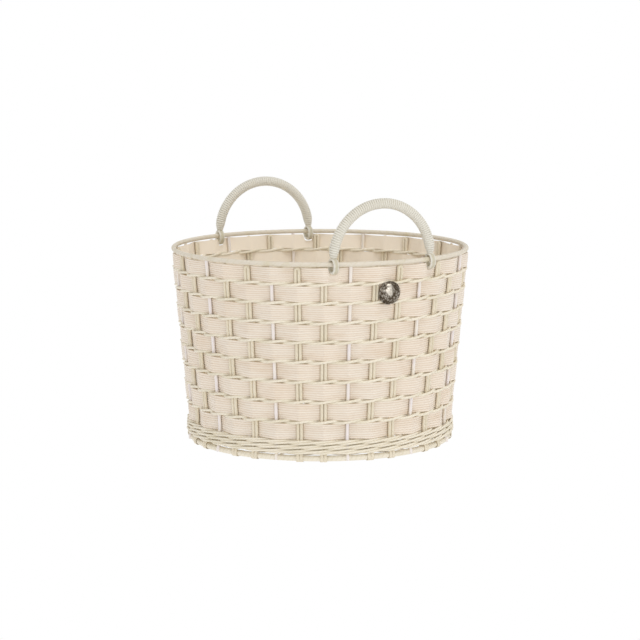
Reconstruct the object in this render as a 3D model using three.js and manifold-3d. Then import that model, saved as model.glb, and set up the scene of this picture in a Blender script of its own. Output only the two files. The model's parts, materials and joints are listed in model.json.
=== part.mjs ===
// A round storage basket: flat ribbed bands and twined cord woven over wires and doubled cords
// that stand between a base ring and a rim, with two wound handles that swing on the rim.
// Millimetres, +Z up. The origin is on the floor under the middle of the base, the handles
// hang at -Y (front, beside the medallion) and +Y (back).

import * as THREE from "three";
import { mergeVertices } from "three/addons/utils/BufferGeometryUtils.js";
import Module from "manifold-3d";

const wasm = await Module();
wasm.setup();

// Driving dimensions: the frame
const basketHeight = 235.6; // floor to the top of the rim
const rimRadius = 177.3; // basket axis to the middle of the rim's tube
const rimThickness = 5.4;
const baseRadius = 157.6; // basket axis to the middle of the base ring's tube
const baseRingThickness = 7;
const wireDiameter = 3.4;
const hubRadius = 15;
const clearance = 0.3; // between pieces that touch on the real basket

// Driving dimensions: the stakes, which are single wires and doubled cords in turn
const bayCount = 12; // each bay has one wire and two doubled cords
const cordDiameter = 3.8;
const footSpread = 1.2; // above the base ring, the stakes stand this far outside its middle
const footRise = 2.2; // from the top of the base ring up to there
const wallFootRise = 25.8; // from its top to the straight wall's start, right above its middle
const rimInsetDepth = 1.45; // the stakes meet the rim this far inside its middle
const cordFloorGap = 0.2; // the standing wires' ends reach this far below the cords
const cordUnderRing = 0.7; // thickness of a cord where the basket's weight flattens it
const cordBesideRing = 1; // thickness where it is drawn over the ring's face
const cordTuck = 3; // thickness where it is tucked in under the mat

// Driving dimensions: the weft
const bandHeight = 17.3;
const bandThickness = 1.6;
const twineHeight = 4.2;
const twineThickness = 2;
const walingRows = 3;
const walingRowHeight = 5.4;
const walingThickness = 3.2;
const walingRise = 1.8; // from the top of the base ring to the lowest waling row
const matThickness = 3;
const matRings = 3; // raised rings of the round woven mat
const matGroove = 1; // depth between them

// Driving dimensions: the handles
const eyePlace = 2.05; // from the middle of a handle to its eye, in spaces between stakes
const handleShift = -0.11; // middle of the front to the middle of the handle, in such spaces
const handleLegLength = 7; // straight part of the rod above the hinge line
const rodDiameter = 6;
const hingeDrop = 2; // the eyes hang on the rim, so their middles lie this far below its own
const eyeGap = 0.65; // between the eye's bore and the rim, where they come closest
const eyeThickness = 3.2;
const eyeWidth = 7;
const windingTurns = 24; // each turn is as wide as three strands of the cord
const windingGap = 0.8; // between one turn and the next, along the middle of the rod
const windingThickness = 2.6;
const windingFaceShare = 0.32; // half width of a turn's outer face, as a share of the turn's width
const windingStartGap = 1.6; // eye to the first turn

// Driving dimensions: the medallion
const medallionDiameter = 27.2;
const medallionEdge = 1.8;
const medallionDepth = 7.6;
const postDiameter = 4;
const capDiameter = 9;
const capThickness = 1.5;

// Facets
const ringSides = 6;
const rimSides = 8;
const stakeSides = 5;
const windingSteps = 8; // for each turn
const rimRoundness = 72;
const eyeSteps = 14;
const rodSteps = 22;
const smallRoundness = 20;

// Derived sizes
const turn = 2 * Math.PI;
const stakeCount = 3 * bayCount;
const stakePitch = turn / stakeCount;
const front = -Math.PI / 2;
const rimTube = rimThickness / 2;
const rimHeight = basketHeight - rimTube;
const rimBottom = basketHeight - rimThickness;
const baseTube = baseRingThickness / 2;
const baseRingLift = cordFloorGap + cordUnderRing + clearance;
const baseHeight = baseRingLift + baseTube;
const baseTop = baseRingLift + baseRingThickness;
const wireRadius = wireDiameter / 2;
const cordRadius = cordDiameter / 2;
const strandOffset = cordRadius + clearance / 2;
const pairHalfWidth = strandOffset + cordRadius;
const stakeHalf = Math.max(cordRadius, wireRadius);
const eyeAngle = eyePlace * stakePitch;
const handleAngle = handleShift * stakePitch;
const bendRadius = rimRadius * Math.sin(eyeAngle);
const hingeInset = rimRadius * Math.cos(eyeAngle);
const hingeHeight = rimHeight - hingeDrop;
const eyeClosest = rimTube / Math.cos(eyeAngle) + (Math.tan(eyeAngle) * eyeWidth) / 4;
const eyeInner = eyeClosest + hingeDrop + eyeGap;
const eyeOuter = eyeInner + eyeThickness;

const cream = { roughness: 0.85, metalness: 0 };
const bandPaper = new THREE.MeshStandardMaterial({ color: 0xe8dccd, ...cream });
const cordPaper = new THREE.MeshStandardMaterial({ color: 0xded8c6, ...cream });
const paintedWire = new THREE.MeshStandardMaterial({ color: 0xe8dfe3, roughness: 0.5, metalness: 0.2 });
const oldSilver = new THREE.MeshStandardMaterial({ color: 0x8d887c, roughness: 0.35, metalness: 0.9 });

// Solids

// A manifold-3d solid of a closed geometry, from its positions alone.
function solidOf(geometry) {
  const bare = new THREE.BufferGeometry();
  const flat = geometry.index ? geometry.toNonIndexed() : geometry;
  bare.setAttribute("position", flat.getAttribute("position"));
  const merged = mergeVertices(bare, 1e-4);
  return new wasm.Manifold(
    new wasm.Mesh({
      numProp: 3,
      vertProperties: merged.attributes.position.array,
      triVerts: new Uint32Array(merged.index.array),
    }),
  );
}

function geometryOf(solid) {
  const mesh = solid.getMesh();
  const geometry = new THREE.BufferGeometry();
  geometry.setAttribute("position", new THREE.BufferAttribute(mesh.vertProperties, 3));
  geometry.setIndex(new THREE.BufferAttribute(mesh.triVerts, 1));
  geometry.computeVertexNormals();
  return geometry;
}

const cut = (geometry, ...tools) =>
  geometryOf(tools.reduce((left, tool) => left.subtract(solidOf(tool)), solidOf(geometry)));

const join = (first, ...others) =>
  geometryOf(others.reduce((whole, piece) => whole.add(solidOf(piece)), solidOf(first)));

// Joins sections of equally many points into one closed surface: a ring, or a bar with flat ends.
// Each section runs counter-clockwise about the way that the sections go.
function loft(sections, isRing) {
  const count = sections[0].length;
  const index = [];
  const spans = isRing ? sections.length : sections.length - 1;
  for (let i = 0; i < spans; i++) {
    const here = i * count;
    const next = ((i + 1) % sections.length) * count;
    for (let k = 0; k < count; k++) {
      const l = (k + 1) % count;
      index.push(here + k, here + l, next + l, here + k, next + l, next + k);
    }
  }
  const last = (sections.length - 1) * count;
  for (let k = 1; k < count - 1 && !isRing; k++) {
    index.push(0, k + 1, k, last, last + k, last + k + 1);
  }
  const geometry = new THREE.BufferGeometry().setFromPoints(sections.flat());
  geometry.setIndex(index);
  geometry.computeVertexNormals();
  return geometry;
}

// Turns an outline of [radius, height] points about the basket's axis. The outline runs
// counter-clockwise with the radius to the right, and first corners lie at startAngle.
function revolve(outline, segments, startAngle = 0) {
  const points = outline.map(([radius, height]) => new THREE.Vector2(radius, height));
  const lathe = new THREE.LatheGeometry(points, segments, startAngle + turn / 4);
  return lathe.rotateX(turn / 4);
}

// A round tube in a ring about the basket's axis.
function ringTube(radius, tube, height, sides, segments) {
  const torus = new THREE.TorusGeometry(radius, tube, sides, segments);
  return torus.rotateZ(stakePitch / 2).translate(0, 0, height);
}

const onBasket = (radius, angle, height, aside = 0) =>
  new THREE.Vector3(
    radius * Math.cos(angle) - aside * Math.sin(angle),
    radius * Math.sin(angle) + aside * Math.cos(angle),
    height,
  );

// The wall's middle surface, which the stakes follow

const wallTopRadius = rimRadius - rimInsetDepth;
const footRadius = baseRadius + footSpread;
const footHeight = baseTop + footRise;
const wallFootHeight = baseTop + wallFootRise;

function wallRadius(height) {
  const straight = height > wallFootHeight;
  const [z0, r0] = straight ? [wallFootHeight, baseRadius] : [footHeight, footRadius];
  const [z1, r1] = straight ? [rimBottom, wallTopRadius] : [wallFootHeight, baseRadius];
  return r0 + ((r1 - r0) * (height - z0)) / (z1 - z0);
}

const stakeAngle = (stake) => front + stakePitch * (stake + 0.5);

// Frame: rings, standing wires, and the spokes and hub under the mat

const rimRing = ringTube(rimRadius, rimTube, rimHeight, rimSides, rimRoundness);
const baseRing = ringTube(baseRadius, baseTube, baseHeight, ringSides, stakeCount);
const rimRoom = ringTube(rimRadius, rimTube + clearance, rimHeight, rimSides, rimRoundness);
const baseRoom = ringTube(baseRadius, baseTube + clearance, baseHeight, ringSides, stakeCount);
const hubRing = ringTube(hubRadius, wireRadius, baseHeight, ringSides, bayCount);

// A section of a round bar, squashed to a thickness along `out`, square to `along`.
function roundSection(centre, along, out, thickness, width, sides) {
  const side = new THREE.Vector3().crossVectors(along, out).normalize();
  const facing = new THREE.Vector3().crossVectors(side, along).normalize();
  return Array.from({ length: sides }, (_, k) => {
    const a = (turn * k) / sides;
    return centre
      .clone()
      .addScaledVector(facing, (Math.cos(a) * thickness) / 2)
      .addScaledVector(side, (Math.sin(a) * width) / 2);
  });
}

// A bar through a list of stations, each with its point, the way out, and its thickness.
function bar(stations, width, sides) {
  const sections = stations.map((station, i) => {
    const before = stations[Math.max(i - 1, 0)].point;
    const after = stations[Math.min(i + 1, stations.length - 1)].point;
    const along = after.clone().sub(before).normalize();
    return roundSection(station.point, along, station.out, station.thickness, width, sides);
  });
  return loft(sections, false);
}

// A standing wire: half let into the base ring's outer face, and coped under the rim.
function frameWire(angle) {
  const lapRadius = baseRadius + baseTube + clearance;
  const route = [
    [lapRadius, 0],
    [lapRadius, baseHeight + wireRadius],
    [footRadius, footHeight],
    [baseRadius, wallFootHeight],
    [wallRadius(rimHeight), rimHeight],
  ];
  const out = onBasket(1, angle, 0);
  const up = new THREE.Vector3(0, 0, 1);
  const sections = route.map(([radius, height]) => {
    const centre = onBasket(radius, angle, height);
    return roundSection(centre, up, out, wireDiameter, wireDiameter, ringSides);
  });
  return cut(loft(sections, false), baseRoom, rimRoom);
}

// A spoke from the hub to the base ring's inner face.
function baseSpoke(angle) {
  const from = hubRadius + wireRadius + clearance;
  const to = baseRadius - baseTube - clearance;
  const spoke = new THREE.CylinderGeometry(wireRadius, wireRadius, to - from, ringSides);
  spoke.rotateZ(turn / 4).translate((from + to) / 2, 0, baseHeight);
  return spoke.rotateZ(angle);
}

// Doubled cords. One cord makes a bay's two doubled stakes: it goes up, turns under the rim
// and comes down beside itself, is drawn round the base ring and tucked in, and does the same
// at the next stake.

const tuckRadius = baseRadius - baseTube - cordDiameter;
const matUnderside = baseHeight + wireRadius + clearance;
const turnTop = rimBottom - clearance - cordRadius;

// Stations of one strand from its tuck to the height where it starts to turn.
function strandStations(angle, aside) {
  const outward = onBasket(1, angle, 0);
  const inward = outward.clone().negate();
  const down = new THREE.Vector3(0, 0, -1);
  const under = baseRingLift - clearance - cordUnderRing / 2;
  const beside = baseRadius + baseTube + clearance + cordBesideRing / 2;
  const tuckHeight = matUnderside - clearance - cordTuck / 2;
  const station = (radius, height, out, thickness) => ({
    point: onBasket(radius, angle, height, aside),
    out,
    thickness,
  });
  return [
    station(tuckRadius, tuckHeight, down, cordTuck),
    station(baseRadius - baseTube, under, inward.clone().add(down), cordUnderRing),
    station(baseRadius + baseTube, under, outward.clone().add(down), cordUnderRing),
    station(beside + clearance, baseHeight, outward, cordBesideRing),
    station(footRadius, footHeight, outward, cordDiameter),
    station(baseRadius, wallFootHeight, outward, cordDiameter),
    station(wallRadius(turnTop - strandOffset), turnTop - strandOffset, outward, cordDiameter),
  ];
}

function doubledStake(angle) {
  const top = {
    point: onBasket(wallRadius(turnTop), angle, turnTop),
    out: onBasket(1, angle, 0),
    thickness: cordDiameter,
  };
  return [
    ...strandStations(angle, -strandOffset),
    top,
    ...strandStations(angle, strandOffset).reverse(),
  ];
}

const warpCord = (firstAngle) =>
  bar(
    [...doubledStake(firstAngle), ...doubledStake(firstAngle + stakePitch)],
    cordDiameter,
    stakeSides,
  );

// Woven rings. A ring lies flat outside every other stake and bends round the inside of those
// between. Each corner is [0 for the inner or 1 for the outer face, height].

function weave(corners, thickness, outsideParity) {
  const heights = corners.map(([, height]) => height);
  const middle = (Math.min(...heights) + Math.max(...heights)) / 2;
  const radius = wallRadius(middle);
  const outside = stakeHalf + clearance + thickness / 2;
  const flat = (pairHalfWidth + clearance) / radius;
  // The slope from a flat to the next inner bend passes the stake's edge with the clearance.
  const slope = stakePitch - flat;
  const share = pairHalfWidth / (radius * slope);
  const sag = (radius * slope ** 2) / 2;
  const inside = (outside * (1 + share) - sag * share * (1 - share)) / (1 - share);

  const section = (angle, offset) =>
    corners.map(([face, height]) =>
      onBasket(wallRadius(height) + offset + (face - 0.5) * thickness, angle, height),
    );
  const sections = [];
  for (let stake = 0; stake < stakeCount; stake++) {
    const angle = stakeAngle(stake);
    if (stake % 2 === outsideParity) {
      sections.push(section(angle - flat, outside), section(angle + flat, outside));
    } else {
      sections.push(section(angle, -inside));
    }
  }
  // Halfway between two stakes the ring lies this far from the wall's middle, at this slant.
  const way = (stakePitch / 2 - flat) / slope;
  const halfway = outside - way * (outside + inside) - sag * way * (1 - way);
  const slant = (outside + inside) / (radius * slope);
  return { geometry: loft(sections, true), outside, halfway, slant };
}

// Rows: bands from the waling up to the rim, drawn closer together towards the top, with a
// twined row between each two.

const walingLift = baseTop + walingRise;
const walingTop = walingLift + walingRows * walingRowHeight;
const firstBand = walingTop + 2 * clearance + bandHeight / 2;
const lastBand = rimBottom - 2 * clearance - bandHeight / 2;
const closestPitch = bandHeight + twineHeight + 2 * clearance;
const bandCount = 1 + Math.floor((lastBand - firstBand) / closestPitch);
const meanPitch = (lastBand - firstBand) / (bandCount - 1);

// Height of the middle of a band, counted from 0 at the foot.
function bandMiddle(row) {
  const easing = (meanPitch - closestPitch) / Math.max(bandCount - 2, 1);
  return firstBand + row * meanPitch + easing * row * (bandCount - 1 - row);
}

function band(row, outsideParity) {
  const low = bandMiddle(row) - bandHeight / 2;
  const high = low + bandHeight;
  const corners = [[0, low], [0, high], [1, high], [1, low]];
  return weave(corners, bandThickness, outsideParity);
}

function twine(row, outsideParity) {
  const middle = (bandMiddle(row) + bandMiddle(row + 1)) / 2;
  const low = middle - twineHeight / 2;
  const corners = [[0, low], [0, low + twineHeight], [1, middle]];
  return weave(corners, twineThickness, outsideParity).geometry;
}

// The waling: rope rows that go round outside all the stakes at the foot.
function waling() {
  const cornerRoom = pairHalfWidth * Math.tan(stakePitch / 2);
  const inner = (height) => wallRadius(height) + stakeHalf + clearance + cornerRoom;
  const outline = [[inner(walingLift), walingLift]];
  for (let row = 0; row < walingRows; row++) {
    const low = walingLift + row * walingRowHeight;
    const middle = low + walingRowHeight / 2;
    if (row) outline.push([inner(low) + walingThickness / 2, low]);
    outline.push([inner(middle) + walingThickness, middle]);
  }
  outline.push([inner(walingTop), walingTop]);
  outline.push(outline[0]);
  return revolve(outline, stakeCount, stakeAngle(0));
}

// The round mat that lies on the spokes inside the base ring, with raised rings on top.
function baseMat() {
  const edge = baseRadius - baseTube - 2 * clearance;
  const top = matUnderside + matThickness;
  const ringWidth = (edge - hubRadius) / matRings;
  const outline = [[0, matUnderside], [edge, matUnderside], [edge, top - matGroove]];
  for (let ring = matRings; ring > 0; ring--) {
    const inner = hubRadius + (ring - 1) * ringWidth;
    outline.push([inner + ringWidth / 2, top], [inner, top - matGroove]);
  }
  outline.push([0, top]);
  return revolve(outline, stakeCount, stakeAngle(0));
}

// Handles. A handle's own frame has its origin on the hinge line, midway between the eyes,
// with X along the hinge line and Z up.

const handleLength = 2 * handleLegLength + Math.PI * bendRadius;

// The rod's middle line, by the distance from the hinge line: its point and outward normal.
function handleAt(distance) {
  const bend = THREE.MathUtils.clamp((distance - handleLegLength) / bendRadius, 0, Math.PI);
  const beyond = distance - handleLegLength - bend * bendRadius;
  const normal = new THREE.Vector3(-Math.cos(bend), 0, Math.sin(bend));
  const along = new THREE.Vector3(Math.sin(bend), 0, Math.cos(bend));
  const point = normal.clone().multiplyScalar(bendRadius).addScaledVector(along, beyond);
  point.z += handleLegLength;
  return { point, normal };
}

class RodLine extends THREE.Curve {
  constructor(inset) {
    super();
    this.inset = inset;
  }

  getPoint(t) {
    return handleAt(this.inset + t * (handleLength - 2 * this.inset)).point;
  }
}

function handleRod() {
  const eyeMiddle = eyeInner + eyeThickness / 2;
  const round = new THREE.Shape().setFromPoints(
    Array.from({ length: ringSides }, (_, k) => {
      const a = (turn * k) / ringSides;
      return new THREE.Vector2(Math.cos(a), Math.sin(a)).multiplyScalar(rodDiameter / 2);
    }),
  );
  const rod = new THREE.ExtrudeGeometry(round, {
    steps: rodSteps,
    extrudePath: new RodLine(eyeInner + eyeThickness / 4),
  });
  const outline = [
    [eyeInner, -eyeWidth / 4],
    [eyeMiddle, -eyeWidth / 2],
    [eyeOuter, -eyeWidth / 4],
    [eyeOuter, eyeWidth / 4],
    [eyeMiddle, eyeWidth / 2],
    [eyeInner, eyeWidth / 4],
    [eyeInner, -eyeWidth / 4],
  ];
  const eye = (side) =>
    revolve(outline, eyeSteps)
      .rotateY(turn / 4)
      .translate(side * bendRadius, 0, 0);
  return join(rod, eye(-1), eye(1));
}

// The winding: one strip, as wide as three strands of the cord, that runs round and along
// the rod.
function handleWinding() {
  const inner = (rodDiameter / 2 + clearance) / Math.cos(Math.PI / windingSteps);
  const start = eyeOuter + windingStartGap;
  const pitch = (handleLength - 2 * start) / windingTurns;
  const width = pitch - windingGap;
  const outline = [
    [-width / 2, 0],
    [-width * windingFaceShare, windingThickness],
    [width * windingFaceShare, windingThickness],
    [width / 2, 0],
  ];
  const across = new THREE.Vector3(0, 1, 0);
  const sections = [];
  for (let step = 0; step <= windingSteps * (windingTurns - 1); step++) {
    const angle = (turn * step) / windingSteps;
    const distance = start + pitch / 2 + (pitch * step) / windingSteps;
    sections.push(
      outline.map(([aside, height]) => {
        const { point, normal } = handleAt(distance + aside);
        const reach = inner + height;
        return point
          .addScaledVector(normal, Math.cos(angle) * reach)
          .addScaledVector(across, Math.sin(angle) * reach);
      }),
    );
  }
  // Least distance between points that lie half a turn or more apart along the strip.
  let least = Infinity;
  const apart = windingSteps / 2;
  sections.forEach((section, i) => {
    for (const later of sections.slice(i + apart, i + 2 * windingSteps)) {
      for (const a of section) for (const b of later) least = Math.min(least, a.distanceTo(b));
    }
  });
  console.log(`winding: ${windingTurns} turns, least gap to itself ${least.toFixed(2)} mm`);
  return loft(sections, false);
}

// Medallion: a domed button on a post through the second band from the top, held by a cap.
// Its outlines start from the wall's middle surface there, and it leans as the wall does.

const medallionRow = bandCount - 2;
const medallionHeight = bandMiddle(medallionRow);
const wallLean = Math.atan2(wallTopRadius - baseRadius, rimBottom - wallFootHeight);

function onFront(geometry) {
  geometry.rotateX(turn / 4 + wallLean);
  return geometry.translate(0, -wallRadius(medallionHeight), medallionHeight);
}

function medallion(seat, postEnd) {
  const radius = medallionDiameter / 2;
  const post = postDiameter / 2;
  const flange = seat + medallionEdge;
  const outline = [[0, postEnd], [post, postEnd], [post, seat], [radius, seat], [radius, flange]];
  for (const share of [0.25, 0.5, 0.75]) {
    const a = (share * turn) / 4;
    outline.push([radius * Math.cos(a), flange + (medallionDepth - medallionEdge) * Math.sin(a)]);
  }
  outline.push([0, seat + medallionDepth]);
  return onFront(revolve(outline, smallRoundness));
}

function medallionCap(seat) {
  const bore = postDiameter / 2 + clearance;
  const edge = capDiameter / 2;
  const inner = seat - capThickness;
  const outline = [[bore, inner], [edge, inner], [edge, seat], [bore, seat], [bore, inner]];
  return onFront(revolve(outline, smallRoundness));
}

function postHole() {
  const radius = postDiameter / 2 + clearance;
  const hole = new THREE.CylinderGeometry(radius, radius, 2 * bandHeight, smallRoundness);
  return onFront(hole.rotateX(turn / 4));
}

// The space that an eye turns in, which the top band leaves free.
function eyeRoom(side, end) {
  const radius = (eyeOuter + clearance) / Math.cos(Math.PI / smallRoundness);
  const width = eyeWidth + 2 * clearance;
  const room = new THREE.CylinderGeometry(radius, radius, width, smallRoundness);
  room.rotateZ(turn / 4).translate(side * bendRadius, end * hingeInset, hingeHeight);
  return room.rotateZ(handleAngle);
}

// Assembly

const basket = new THREE.Group();
const number = (index) => String(index + 1).padStart(2, "0");

function add(name, geometry, material, group = basket) {
  const mesh = new THREE.Mesh(geometry, material);
  mesh.name = name;
  group.add(mesh);
}

add("rim_ring", rimRing, cordPaper);
add("base_ring", baseRing, cordPaper);
add("hub_ring", hubRing, paintedWire);
for (let bay = 0; bay < bayCount; bay++) {
  const wireStake = 3 * bay + 1;
  add(`frame_wire_${number(bay)}`, frameWire(stakeAngle(wireStake)), paintedWire);
  add(`warp_cord_${number(bay)}`, warpCord(stakeAngle(wireStake + 1)), cordPaper);
}
for (let spoke = 0; spoke < bayCount / 2; spoke++) {
  add(`base_spoke_${number(spoke)}`, baseSpoke(stakeAngle(6 * spoke + 1)), paintedWire);
}
add("base_mat", baseMat(), bandPaper);
add("waling", waling(), cordPaper);

// Bands and twined rows are numbered from the rim down. The second band passes outside the
// first stake to the right of the front handle's middle.
for (let row = 0; row < bandCount; row++) {
  const fromTop = bandCount - 1 - row;
  let { geometry } = band(row, (fromTop + 1) % 2);
  if (row === bandCount - 1) {
    const rooms = [-1, 1].flatMap((end) => [eyeRoom(-1, end), eyeRoom(1, end)]);
    geometry = cut(geometry, ...rooms);
  }
  if (row === medallionRow) geometry = cut(geometry, postHole());
  add(`band_${number(fromTop)}`, geometry, bandPaper);
  if (row < bandCount - 1) {
    add(`twine_${number(fromTop - 1)}`, twine(row, fromTop % 2), cordPaper);
  }
}

// The medallion seats over the band and the twined row above it, and the cap lies against the
// band's inner face, which slants there from one stake to the next.
const medallionBand = band(medallionRow, 0);
const bandOuter = medallionBand.outside + bandThickness / 2;
const twineOuter = stakeHalf + clearance + twineThickness;
const capTilt = (medallionBand.slant * capDiameter) / 2;
const capSeat = medallionBand.halfway - bandThickness / 2 - clearance - capTilt;
const medallionSeat = Math.max(bandOuter, twineOuter) + clearance;
add("medallion", medallion(medallionSeat, capSeat - capThickness), oldSilver);
add("medallion_cap", medallionCap(capSeat), oldSilver);

for (const [name, angle] of [["front", 0], ["back", Math.PI]]) {
  const side = new THREE.Group();
  side.rotation.z = angle + handleAngle;
  const handle = new THREE.Group();
  handle.position.set(0, -hingeInset, hingeHeight);
  add(`${name}_handle_rod`, handleRod(), paintedWire, handle);
  add(`${name}_handle_winding`, handleWinding(), cordPaper, handle);
  side.add(handle);
  basket.add(side);
}

export default basket;
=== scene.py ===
import json
import math

import bpy
import numpy as np
from bpy.props import FloatProperty, FloatVectorProperty, IntProperty, PointerProperty
from mathutils import Matrix, Vector


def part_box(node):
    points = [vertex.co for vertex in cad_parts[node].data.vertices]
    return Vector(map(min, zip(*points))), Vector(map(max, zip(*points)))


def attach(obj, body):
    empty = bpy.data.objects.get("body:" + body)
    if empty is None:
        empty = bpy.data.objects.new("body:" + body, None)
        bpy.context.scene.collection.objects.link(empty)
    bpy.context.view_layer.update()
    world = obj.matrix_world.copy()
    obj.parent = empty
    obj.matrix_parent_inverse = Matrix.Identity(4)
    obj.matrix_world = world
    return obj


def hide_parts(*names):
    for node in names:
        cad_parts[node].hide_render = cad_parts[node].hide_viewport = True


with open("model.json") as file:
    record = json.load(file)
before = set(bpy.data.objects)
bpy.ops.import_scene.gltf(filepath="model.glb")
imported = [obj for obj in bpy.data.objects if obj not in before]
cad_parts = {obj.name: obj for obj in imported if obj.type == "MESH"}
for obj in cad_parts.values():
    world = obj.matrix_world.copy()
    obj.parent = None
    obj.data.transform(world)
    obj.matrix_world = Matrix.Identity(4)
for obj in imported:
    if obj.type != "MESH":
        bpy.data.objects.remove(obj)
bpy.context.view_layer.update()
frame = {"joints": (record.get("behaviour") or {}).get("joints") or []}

bl_info = {
    "name": "Woven storage basket",
    "version": (1, 0, 0),
    "blender": (4, 5, 0),
    "location": "3D View > Sidebar > Basket",
    "description": "A round basket of ribbed bands and twined cord with two swinging handles",
    "category": "Object",
}

MM = 0.001
TURN = 2 * math.pi
FRONT = -TURN / 4

STAKES = 36
BAYS = 12
PITCH = TURN / STAKES
FIRST_STAKE = FRONT + PITCH / 2

BANDS = [f"band_{row:02}" for row in range(1, 10)]
TWINES = [f"twine_{row:02}" for row in range(1, 9)]
WIRES = [f"frame_wire_{bay:02}" for bay in range(1, BAYS + 1)]
CORDS = [f"warp_cord_{bay:02}" for bay in range(1, BAYS + 1)]
SPOKES = [f"base_spoke_{spoke:02}" for spoke in range(1, 7)]
HANDLES = ("front_handle", "back_handle")


# Measures of the frame


def middle(node):
    """Height of the middle of a solid."""
    low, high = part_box(node)
    return (low.z + high.z) / 2


RIM_LOW, RIM_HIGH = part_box("rim_ring")
RIM_TUBE = (RIM_HIGH.z - RIM_LOW.z) / 2
RIM_HEIGHT = RIM_HIGH.z - RIM_TUBE
BASE_HEIGHT = middle("base_ring")
BAND_MIDDLES = [middle(name) for name in BANDS]
HINGE = next(Vector(joint["pos_m"]) for joint in frame["joints"] if joint["name"] == "front_handle")
HINGE_INSET = HINGE.xy.length
HANDLE_ANGLE = math.atan2(HINGE.x, -HINGE.y)
HANDLE_SHIFT = HANDLE_ANGLE / PITCH

# Radius and height of three points of the wall's middle surface: it is narrowest at its foot and
# widens in straight lines, down to the base and up to the rim
WALL_FOOT = (157.6 * MM, 34 * MM)
WALL_TOP = (175.85 * MM, 230.2 * MM)
WALL_START = (158.8 * MM, 10.4 * MM)
LEAN = (WALL_TOP[0] - WALL_FOOT[0]) / (WALL_TOP[1] - WALL_FOOT[1])
FOOT_LEAN = (WALL_START[0] - WALL_FOOT[0]) / (WALL_FOOT[1] - WALL_START[1])


def wall_radius(height):
    """Radius of the wall's middle surface at a height."""
    above = height - WALL_FOOT[1]
    return WALL_FOOT[0] + LEAN * np.maximum(above, 0) + FOOT_LEAN * np.maximum(-above, 0)


def stake_angle(stake):
    return FIRST_STAKE + PITCH * stake


# Settings


def length(name, description, millimetres):
    """A size setting, given in millimetres and kept in metres."""
    return FloatProperty(
        name=name,
        description=description,
        default=millimetres * MM,
        min=0,
        precision=4,
        unit="LENGTH",
        subtype="DISTANCE",
    )


def colour(name, description, red, green, blue):
    """A colour setting, given as it looks on a screen, from 0 to 255."""
    return FloatVectorProperty(
        name=name,
        description=description,
        default=[linear(part) for part in (red, green, blue)],
        min=0,
        max=1,
        subtype="COLOR",
    )


def linear(part):
    share = part / 255
    return share / 12.92 if share <= 0.04045 else ((share + 0.055) / 1.055) ** 2.4


class FrameSizes(bpy.types.PropertyGroup):
    """Sizes of the rings, wires and standing cords."""

    rim_radius: length(
        "Rim radius", "Basket axis to the middle of the rim's tube", (RIM_HIGH.x - RIM_TUBE) / MM
    )
    base_radius: length("Base radius", "Basket axis to the middle of the base ring's tube", 157.6)
    base_thickness: length("Base thickness", "Thickness of the base ring", 6.9)
    wire_diameter: length("Wire", "Diameter of a standing wire", 4)
    cord_diameter: length("Cord", "Diameter of a standing cord", 3.8)
    cord_spread: length("Cord spread", "From the middle of a doubled cord to either strand", 2.03)
    cord_give: length("Cord give", "How far the weave pushes a standing cord in and out", 0.45)


class WeftSizes(bpy.types.PropertyGroup):
    """Sizes of the bands, twines and waling."""

    ribs: IntProperty(name="Ribs", description="Ribs across a band", default=7, min=2)
    rib_depth: length("Rib depth", "Depth of the grooves between the ribs", 0.5)
    band_thickness: length("Band thickness", "Thickness of a band", 1.4)
    weave_depth: length("Weave depth", "How far a band swings in and out of the wall's middle", 3.3)
    band_crown: length("Band crown", "How far a band bulges where it passes outside", 0.35)
    twine_diameter: length("Twine strand", "Diameter of one of a twine's two strands", 3.25)
    twine_swing: length("Twine swing", "How far a twine's strands swing in and out", 3.6)
    twine_rise: length("Twine rise", "How far a twine's strands cross above and below", 1.35)
    waling_diameter: length("Waling strand", "Diameter of one of the waling's three strands", 2.8)


class HandleSizes(bpy.types.PropertyGroup):
    """Sizes of the handles."""

    bend_radius: length("Bend radius", "Radius of the rod's bend, to its middle line", 62.09)
    leg: length("Leg", "Straight part of the rod above the hinge line", 7)
    rod_diameter: length("Rod", "Diameter of the rod under the winding", 6)
    strand_thickness: length("Strand thickness", "Thickness of the cord that is wound on", 2.1)
    strand_width: length("Strand width", "Width of that cord along the rod", 2.85)
    winding_radius: length("Winding radius", "Rod's middle to the middle of the wound cord", 5.1)
    winding_taper: length("Winding taper", "How much closer the winding lies at the eyes", 2.4)
    turns: IntProperty(name="Turns", description="Turns of the winding", default=74, min=3)
    eye_inner: length("Eye bore", "Radius of the eye's bore", 6.25)
    eye_outer: length("Eye reach", "Outer radius of the eye", 9.35)
    eye_width: length("Eye width", "Width of the eye along the rim", 6.9)


class MedallionSizes(bpy.types.PropertyGroup):
    """Sizes of the button on the front."""

    diameter: length("Diameter", "Across the button", 27.2)
    edge: length("Edge", "Height of the button's straight edge", 1.8)
    depth: length("Depth", "From the back of the button to the top of its dome", 7.6)
    seat: length("Seat", "From the wall's middle to the back of the button", 4.4)
    post_diameter: length("Post", "Diameter of the post behind the button", 4)
    cap_diameter: length("Cap", "Diameter of the cap inside the basket", 9)
    cap_thickness: length("Cap thickness", "Thickness of the cap", 1.5)


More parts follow.
